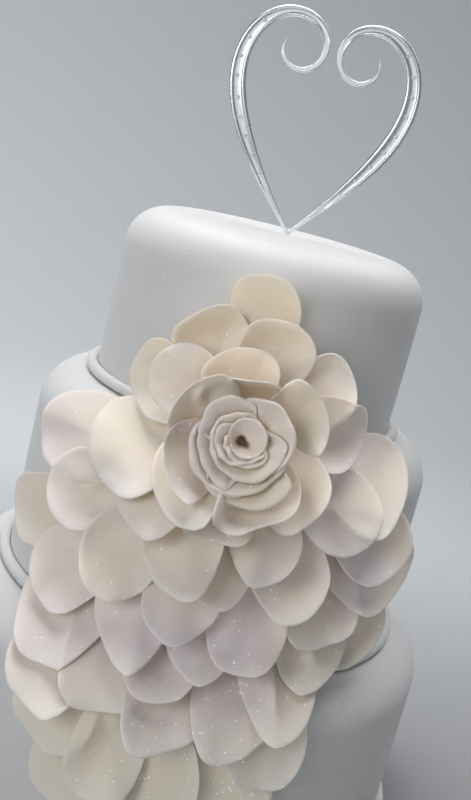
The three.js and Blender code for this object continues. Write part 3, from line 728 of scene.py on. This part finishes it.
def tier_depth(x, z):
    """How far the cake itself stands out towards the front at points of the front view."""
    depth = np.zeros_like(x)
    for name in TIER_NAMES:
        low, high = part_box(f"tier_{name}")
        over = np.clip(z - (high.z - TIER_EDGE), 0, TIER_EDGE)
        radius = high.x - TIER_EDGE + np.sqrt(TIER_EDGE**2 - over**2)
        inside = (z >= low.z) & (z <= high.z) & (radius > np.abs(x))
        depth = np.where(inside, np.sqrt(np.maximum(radius**2 - x**2, 0)), depth)
    return depth


class DepthMap:
    """How far what is already on the cake stands out towards the front, over the cells of the front view."""

    def __init__(self):
        low, high = CAD_BOX
        self.low_x, self.low_z = low[0], low[2]
        columns = int((high[0] - low[0]) / MAP_CELL) + 1
        rows = int((high[2] - low[2]) / MAP_CELL) + 1
        x = self.low_x + (np.arange(columns) + 0.5) * MAP_CELL
        z = self.low_z + (np.arange(rows) + 0.5) * MAP_CELL
        self.depth = tier_depth(*np.meshgrid(x, z))

    def cells(self, points):
        column = np.clip(((points[..., 0] - self.low_x) / MAP_CELL).astype(int), 1, self.depth.shape[1] - 2)
        row = np.clip(((points[..., 2] - self.low_z) / MAP_CELL).astype(int), 1, self.depth.shape[0] - 2)
        return row, column

    def under(self, points):
        """The greatest depth in the nine cells round each point."""
        row, column = self.cells(points)
        return np.max([self.depth[row + i, column + j] for i in (-1, 0, 1) for j in (-1, 0, 1)], axis=0)

    def add(self, grid):
        """Lays a sheet of rings by directions on the map."""
        closed = np.concatenate([grid, grid[:, :1]], axis=1)
        for i in range(MAP_FINER):
            rings = mix(closed[:-1], closed[1:], i / MAP_FINER)
            for j in range(MAP_FINER):
                points = mix(rings[:, :-1], rings[:, 1:], j / MAP_FINER)
                np.maximum.at(self.depth, self.cells(points), -points[..., 1])
        np.maximum.at(self.depth, self.cells(grid[-1]), -grid[-1, :, 1])


def lay_sheet(grid, thick, ground):
    """Raises a sheet, softly, wherever it would cut into what is under it."""
    lack = np.maximum(0, ground.under(grid) + thick + SHEET_AIR + grid[..., 1])
    raised = lack.copy()
    for _ in range(LAY_PASSES):
        beside = (np.roll(raised, 1, axis=1) + np.roll(raised, -1, axis=1)) / 2
        inner = np.concatenate([raised[1:2], raised[:-1]])
        outer = np.concatenate([raised[1:], raised[-1:]])
        raised = np.maximum(lack, (beside + inner + outer) / 3)
        raised[0] = raised[0].max()
    grid[..., 1] -= raised


def make_petal(node, rng, ground):
    """One thin petal with a rounded rim, standing for its solid."""
    grid, near, shares = petal_sheet(node, rng)
    across = mix(PETAL_SHEET["middle"], PETAL_SHEET["rim"], shares**2)
    thick = np.repeat(across[:, None], PETAL_AROUND, axis=1)
    lay_sheet(grid, thick, ground)
    ground.add(grid)
    normals = sheet_normals(grid)
    back = grid - normals * thick[..., None]
    outward = grid[-1] - grid[-2]
    outward /= np.maximum(np.linalg.norm(outward, axis=1), 1e-9)[:, None]
    edge = (grid[-1] + back[-1]) / 2 + outward * PETAL_SHEET["rim"] * 0.5
    outer = range(1, len(grid))
    rows = [grid[r] for r in outer] + [edge] + [back[r] for r in reversed(outer)]
    values = [near[r] for r in outer] + [near[-1]] + [near[r] for r in reversed(outer)]
    points = np.concatenate(rows + [grid[0, :1], back[0, :1]])
    values = np.concatenate(values + [near[0, :1], near[0, :1]])
    faces = grid_faces(len(rows), PETAL_AROUND)
    faces = turned_over(faces + cap_faces(len(rows), PETAL_AROUND, len(points) - 2, len(points) - 1))
    make_piece(f"sugar_{node}", points, faces, PETAL_PASTE, [node], values)


def make_petals(rng):
    """All petals, from the lowest layer to the highest, each laid on those before it."""
    ground = DepthMap()
    for layer in PETAL_LAYERS:
        nodes = sorted(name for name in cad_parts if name.startswith(f"petal_{layer}_"))
        for node in nodes:
            make_petal(node, rng, ground)


# The rose's heart
def smooth_curve(values, share, closed=False):
    """Smooth curve through evenly spaced values, read at a share of its length."""
    count = len(values)
    place = share * (count if closed else count - 1)
    i = int(place) if closed else min(count - 2, int(place))
    t = place - i
    if closed:
        p = [values[(i + k) % count] for k in (-1, 0, 1, 2)]
    else:
        p = [values[min(count - 1, max(0, i + k))] for k in (-1, 0, 1, 2)]
    return curve_between(*p, t)


def heart_place():
    """Turns points about the rose's axis, height outwards, into the cake's frame."""
    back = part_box("rose_bud")[1].y
    tilt = math.radians(ROSE_TILT)
    depth = -back + BUD_ROOT * math.sin(tilt)
    foot = Vector((ROSE_CENTRE.x, -depth, ROSE_CENTRE.z - HEART_HEIGHT * math.sin(tilt)))
    return Matrix.Translation(foot + HEART_SHIFT) @ Matrix.Rotation(-tilt, 4, "X")


def heart_point(seen, distance, height):
    """A point of the heart, from its bearing as it is seen, its distance and its height (mm)."""
    bearing = math.radians(seen + VIEW["roll"])
    return (distance * math.cos(bearing) * MM, -height * MM, distance * math.sin(bearing) * MM)


def bud_surface(place):
    """The bud: a dark hole, a broad soft face round it with its rim turned down, and the core below."""
    points = []
    values = []
    top = HEART_HEIGHT / MM
    rows = [("hole", distance, height) for distance, height in BUD_HOLE]
    rows += [("face", share, height) for share, height in BUD_FACE]
    rows += [("core", distance, height) for distance, height in BUD_CORE]
    for depth, (kind, out, height) in enumerate(rows):
        # Below 0: painted dark shade deep in the hole, fading with the rows
        hole_shade = min(0.0, depth / BUD_HOLE_SHADE["rows"] - BUD_HOLE_SHADE["deepest"])
        for i in range(BUD_AROUND):
            seen = 360 * i / BUD_AROUND
            lip = smooth_curve(BUD_LIP, i / BUD_AROUND, closed=True)
            furrow = math.exp(-(((seen - BUD_FURROW["seen"]) / BUD_FURROW["width"]) ** 2))
            mouth = 1 + BUD_FURROW["reach"] * furrow
            distance = out
            wave = 0.0
            if kind == "hole":
                distance = out * mouth
            if kind == "face":
                distance = mix(BUD_HOLE[-1][0] * mouth, lip, out)
                ripple = math.sin(math.radians(BUD_WAVE["count"] * seen + BUD_WAVE["phase"]))
                wave = BUD_WAVE["height"] * out * ripple - BUD_FURROW["sink"] * furrow * (1 - out)
            points.append(place @ Vector(heart_point(seen, distance, top + height + wave)))
            values.append(BUD_SHADES.get(kind, hole_shade))
    faces = grid_faces(len(rows), BUD_AROUND)
    faces = turned_over(faces + cap_faces(len(rows), BUD_AROUND, len(points), len(points) + 1))
    points += [place @ Vector(heart_point(0, 0, top + BUD_HOLE[0][1])), place @ Vector((0, 0, 0))]
    return points, faces, values + [-1.0, 0.0]


def rolled_column(under, lip, top, flare):
    """One line up a rolled petal's wall, from under the lip before it to its own lip, which turns out."""
    root = under - LIP_UNDERCUT
    column = []
    for k in range(ROLLED_LEVELS + 1):
        level = k / ROLLED_LEVELS
        climbed = min(1.0, level / LIP_LEVEL)
        turn = math.radians(LIP_TURN) * max(0.0, level - LIP_LEVEL) / (1 - LIP_LEVEL)
        distance = mix(root, lip - flare, climbed) + flare * math.sin(turn)
        height = top - LIP_DEPTH * (1 - climbed) ** LIP_CURVE - flare * (1 - math.cos(turn))
        column.append((distance, height))
    return column


def wave_sum(waves, phases, turn):
    return sum(height * math.sin(count * turn + phase) for (count, height), phase in zip(waves, phases))


def rolled_solid(grid, place):
    """Points, faces and rim paleness (partly the paste's own tone, partly a painted highlight) of a wall of
    some thickness, along the columns of a rolled petal.
    """
    normals = np.cross(np.gradient(grid, axis=0), np.gradient(grid, axis=1))
    normals /= np.maximum(np.linalg.norm(normals, axis=2, keepdims=True), 1e-12)
    levels = np.linspace(0, 1, ROLLED_LEVELS + 1)
    half = normals * mix(ROLLED_SHEET["root"], ROLLED_SHEET["lip"], levels**3)[None, :, None] / 2
    loop = np.concatenate([grid + half, (grid - half)[:, ::-1]], axis=1)
    columns = loop.shape[1]
    points = [place @ Vector(p) for p in loop.reshape(-1, 3)]
    values = np.tile(np.concatenate([levels, levels[::-1]]) ** 3, ROLLED_STEPS + 1)
    faces = grid_faces(ROLLED_STEPS + 1, columns)
    end = ROLLED_STEPS * columns
    for k in range(ROLLED_LEVELS):
        faces.append((k + 1, k, columns - 1 - k, columns - 2 - k))
        faces.append((end + k, end + k + 1, end + columns - 2 - k, end + columns - 1 - k))
    return points, turned_over(faces), values


def rolled_petal(start, span, distances, drop, flare, reached, place, rng):
    """One petal rolled round the bud. Its ends sink under the lips before it. reached holds how far out the
    lips are so far, at each degree, and takes this one's."""
    phases = [rng.uniform(0, 2 * math.pi) for _ in range(4)]
    degrees = np.arange(-360, 720)
    before = np.tile(reached, 3)
    bearings = start + span * np.arange(ROLLED_STEPS + 1) / ROLLED_STEPS
    lips = []
    grid = []
    for i, seen in enumerate(bearings):
        share = i / ROLLED_STEPS
        under = np.interp(seen, degrees, before)
        turn = math.radians(seen)
        outside = abs(2 * share - 1)
        whole = 1 - smooth_step((outside - END_SINKS_FROM) / (1 - END_SINKS_FROM))
        wobble = wave_sum(LIP_WAVES_OUT, phases[:2], turn)
        wave = wave_sum(LIP_WAVES_UP, phases[2:], turn)
        wanted = max(under + LIP_CLEARANCE, smooth_curve(distances, share) + wobble)
        lip = mix(wanted, under, smooth_step((outside - END_TUCKS_FROM) / (1 - END_TUCKS_FROM)))
        top = HEART_HEIGHT / MM - drop + wave * whole - LIP_SINK * (1 - whole)
        column = rolled_column(under, lip, top, flare * mix(END_FLARE, 1, whole))
        grid.append([heart_point(seen, distance, height) for distance, height in column])
        lips.append(lip)
    for turn in (-360, 0, 360):
        found = np.interp(np.arange(360) + turn, bearings, lips, left=0, right=0)
        np.maximum(reached, found, out=reached)
    return rolled_solid(np.array(grid), place)


def make_rose_heart(rng):
    """The bud, and the petals rolled round it from the innermost outwards."""
    place = heart_place()
    surface = bud_surface(place)
    reached = np.array([smooth_curve(BUD_LIP, degree / 360, closed=True) for degree in range(360)])
    make_sugar("rose_bud", surface, "rose_bud")
    for name, *shape in ROLLED_PETALS:
        make_sugar(f"rose_roll_{name}", rolled_petal(*shape, reached, place, rng), "rose_wrap")


def make_sugar(name, surface, node):
    points, faces, values = surface
    make_piece(f"sugar_{name}", points, faces, PETAL_PASTE, [node], values)


# The topper
def stroke_stations():
    """Middle line of the right-hand stroke, from its foot to the end of its curl."""
    stations = []
    x = z = 0.0
    heading = math.radians(STROKE_HEADING)
    step = STROKE_LENGTH / STROKE_STEPS
    for i in range(STROKE_STEPS + 1):
        share = i / STROKE_STEPS
        stations.append((x, z, heading, share))
        bend = mix(STROKE_BEND["gentlest"], STROKE_BEND["tightest"], share ** STROKE_BEND["power"])
        heading += bend * step
        x += step * math.cos(heading)
        z += step * math.sin(heading)
    return stations


def stroke_width(share):
    """Width of the stroke, which ends in a point."""
    swell_at = STROKE_WIDTH["swell_at"]
    swell = share / swell_at if share < swell_at else (1 - share) / (1 - swell_at)
    width = mix(STROKE_WIDTH["thinnest"], STROKE_WIDTH["widest"], smooth_step(swell))
    return width * mix(STROKE_WIDTH["point"], 1, smooth_step((1 - share) / STROKE_WIDTH["point_length"]))


def stroke_section(half, deep, channel):
    """The section's outline, from one edge over the front and its channel to the other, and back behind."""
    sunk = deep * (1 - CHANNEL["sink"] * channel)
    points = [(side * half, out * deep) for side, out in STROKE_FRONT]
    points.append((CHANNEL["slope_at"] * half, mix(deep, sunk, CHANNEL["slope"])))
    points += [(CHANNEL["floor_at"] * half, sunk), (0.0, sunk)]
    front = points + [(-side, out) for side, out in reversed(points[:-1])]
    bare = STROKE_BACK["bare_inside"] * half
    back = [(side, out) for side, out in reversed(front[1:-1]) if abs(side) > bare or side == 0.0]
    return front + [(side, -out * STROKE_BACK["depth"]) for side, out in back]


def make_stroke(name, mirror, origin):
    """One stroke of the heart: a tapering bar with a channel down its front."""
    rows = []
    for x, z, heading, share in stroke_stations():
        half = stroke_width(share) / 2
        deep = STROKE_DEPTH / 2 * min(1.0, half / STROKE_THINS_BELOW)
        channel = smooth_step((half / MM - CHANNEL["from"]) / CHANNEL["over"])
        across = Vector((-math.sin(heading), 0, math.cos(heading)))
        row = []
        for side, out in stroke_section(half, deep, channel):
            point = Vector((x, 0, z)) + across * side + Vector((0, -out, 0))
            row.append(origin + Vector((point.x * mirror, point.y, point.z)))
        rows.append(row)
    columns = len(rows[0])
    points = [p for row in rows for p in row]
    faces = grid_faces(len(rows), columns)
    faces.append(tuple(reversed(range(columns))))
    faces.append(tuple(range((len(rows) - 1) * columns, len(rows) * columns)))
    if mirror < 0:
        faces = turned_over(faces)
    make_piece(f"silver_stroke_{name}", points, faces, SILVER, ["topper"])


def stone_surface(centre, radius, start):
    """Points and faces of one round brilliant, its points numbered from start."""
    sides = STONES["sides"]
    last = len(STONE_RINGS) - 1
    points = []
    for ring, (scale, out) in enumerate(STONE_RINGS):
        for i in range(sides):
            angle = 2 * math.pi * (i + 0.5 * (ring == last)) / sides
            across = radius * scale * math.cos(angle)
            points.append((centre[0] + across, -out * MM, centre[1] + radius * scale * math.sin(angle)))
    faces = grid_faces(len(STONE_RINGS), sides)
    faces.append(tuple(last * sides + i for i in range(sides)))
    faces.append(tuple(sides - 1 - i for i in range(sides)))
    return points, [tuple(start + corner for corner in face) for face in faces]


def make_stones(name, mirror, origin):
    """A row of small round brilliants down the channel of the broad stretch."""
    stations = stroke_stations()
    points = []
    faces = []
    for k in range(STONES["count"]):
        at = mix(STONES["from"], STONES["to"], k / (STONES["count"] - 1))
        x, z, _, share = stations[round(at * STROKE_STEPS)]
        radius = min(STONES["radius"], STONES["share"] * stroke_width(share))
        corners, facets = stone_surface((x, z), radius, len(points))
        points += [origin + Vector((right * mirror, back, up)) for right, back, up in corners]
        faces += facets
    if mirror < 0:
        faces = turned_over(faces)
    piece = make_piece(f"clear_stones_{name}", points, faces, CRYSTAL, [])
    piece.data.polygons.foreach_set("use_smooth", [False] * len(piece.data.polygons))


def make_topper():
    """The scroll heart: two strokes that meet at the foot, with their stones."""
    low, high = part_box("topper")
    stations = stroke_stations()
    foot = min(z - stroke_width(share) / 2 * abs(math.cos(heading)) for _, z, heading, share in stations)
    origin = Vector(((low.x + high.x) / 2, high.y - STROKE_DEPTH / 2, low.z - foot))
    for name, mirror in (("right", 1), ("left", -1)):
        make_stroke(name, mirror, origin)
        make_stones(name, mirror, origin)


# Camera, light and ground
def make_camera():
    """The photograph's camera, as it was fitted to the tiers."""
    data = bpy.data.cameras.new("camera")
    data.sensor_fit = "VERTICAL"
    data.sensor_height = SENSOR_MM
    data.lens = FOCAL_PX * SENSOR_MM / PHOTO_HEIGHT_PX
    data.clip_start = 0.01
    camera = bpy.data.objects.new("camera", data)
    turn = Matrix.Rotation(math.radians(VIEW["left"]), 4, "Z")
    turn = turn @ Matrix.Rotation(math.radians(90 - VIEW["down"]), 4, "X")
    turn = turn @ Matrix.Rotation(math.radians(VIEW["roll"]), 4, "Z")
    camera.matrix_world = Matrix.Translation((0, -VIEW["distance"], VIEW["height"])) @ turn
    bpy.context.scene.collection.objects.link(camera)
    bpy.context.scene.camera = camera


def add_area_light(name, place, aim, size, power, colour):
    data = bpy.data.lights.new(name, "AREA")
    data.shape = "DISK"
    data.size = size
    data.energy = power
    data.color = colour
    light = bpy.data.objects.new(name, data)
    light.location = place
    light.rotation_euler = (Vector(aim) - Vector(place)).to_track_quat("-Z", "Y").to_euler()
    bpy.context.scene.collection.objects.link(light)


def make_light():
    """Soft lights overhead, behind the cake and beside the camera, in a dim room."""
    for name, place, size, power, colour in LIGHTS:
        add_area_light(name, place, LIGHT_AIM, size, power, colour)
    world = bpy.data.worlds.new("room")
    world.use_nodes = True
    set_inputs(world.node_tree, world.node_tree.nodes["Background"], ROOM)
    bpy.context.scene.world = world
    bpy.context.scene.view_settings.view_transform = "Standard"


def make_paper():
    """Matt paper, grey on the floor in front and pale on the wall behind the cake, with painted shade: the
    wall lighter at the left and darker at the right, the floor darker near the cake.
    """
    material, tree, shader = new_material("matt paper", {"Roughness": 0.9})
    place = own_place(tree)
    parts = add_node(tree, "ShaderNodeSeparateXYZ", {"Vector": place}).outputs
    behind = add_node(
        tree, "ShaderNodeMapRange", {"Value": parts["Y"], **WALL_BEHIND}, interpolation_type="SMOOTHSTEP")
    # Painted shade on the wall: lighter at the left, darker at the right
    wall = mix_colours(tree, map_range(tree, parts["X"], *WALL_SHADE_ACROSS), *PAPER_WALL_LIT_TO_SHADED)
    # Painted shade on the floor: darker near the cake, lighter further out
    far = add_node(tree, "ShaderNodeVectorMath", {0: place}, operation="LENGTH").outputs["Value"]
    floor = mix_colours(tree, map_range(tree, far, *FLOOR_SHADE_OUTWARDS), *PAPER_FLOOR_SHADED_NEAR)
    ground = mix_colours(tree, behind.outputs["Result"], floor, wall)
    fibre = math_node(tree, "MULTIPLY", noise_node(tree, place, 400.0), FIBRE_SHARE)
    set_inputs(tree, shader, {"Base Color": mix_colours(tree, fibre, ground, PAPER_FIBRE)})
    return material


def make_ground():
    """A plain round studio of paper, whose floor curves up into a wall all round."""
    around = STUDIO["around"]
    wall = STUDIO["floor"] + STUDIO["bend"]
    steps = STUDIO["floor_steps"]
    profile = [(STUDIO["floor"] * i / steps, 0.0) for i in range(1, steps + 1)]
    for i in range(1, STUDIO["steps"] + 1):
        angle = math.radians(90 * i / STUDIO["steps"])
        out = STUDIO["floor"] + STUDIO["bend"] * math.sin(angle)
        profile.append((out, STUDIO["bend"] * (1 - math.cos(angle))))
    profile.append((wall, STUDIO["height"]))
    points = [(0, 0, 0)]
    for radius, height in profile:
        for i in range(around):
            angle = 2 * math.pi * i / around
            points.append((radius * math.cos(angle), radius * math.sin(angle), height))
    faces = turned_over(tuple(1 + corner for corner in face) for face in grid_faces(len(profile), around))
    faces += [(0, 1 + i, 1 + (i + 1) % around) for i in range(around)]
    mesh = bpy.data.meshes.new("paper_studio")
    mesh.from_pydata(points, [], faces)
    mesh.polygons.foreach_set("use_smooth", [True] * len(mesh.polygons))
    mesh.materials.append(make_paper())
    studio = bpy.data.objects.new("paper_studio", mesh)
    bpy.context.scene.collection.objects.link(studio)


make_camera()
make_light()
make_ground()
for tier in TIER_NAMES:
    make_tier(tier)
    make_rope(tier)
random_source = random.Random(RANDOM_SEED)
make_petals(random_source)
make_rose_heart(random_source)
make_topper()
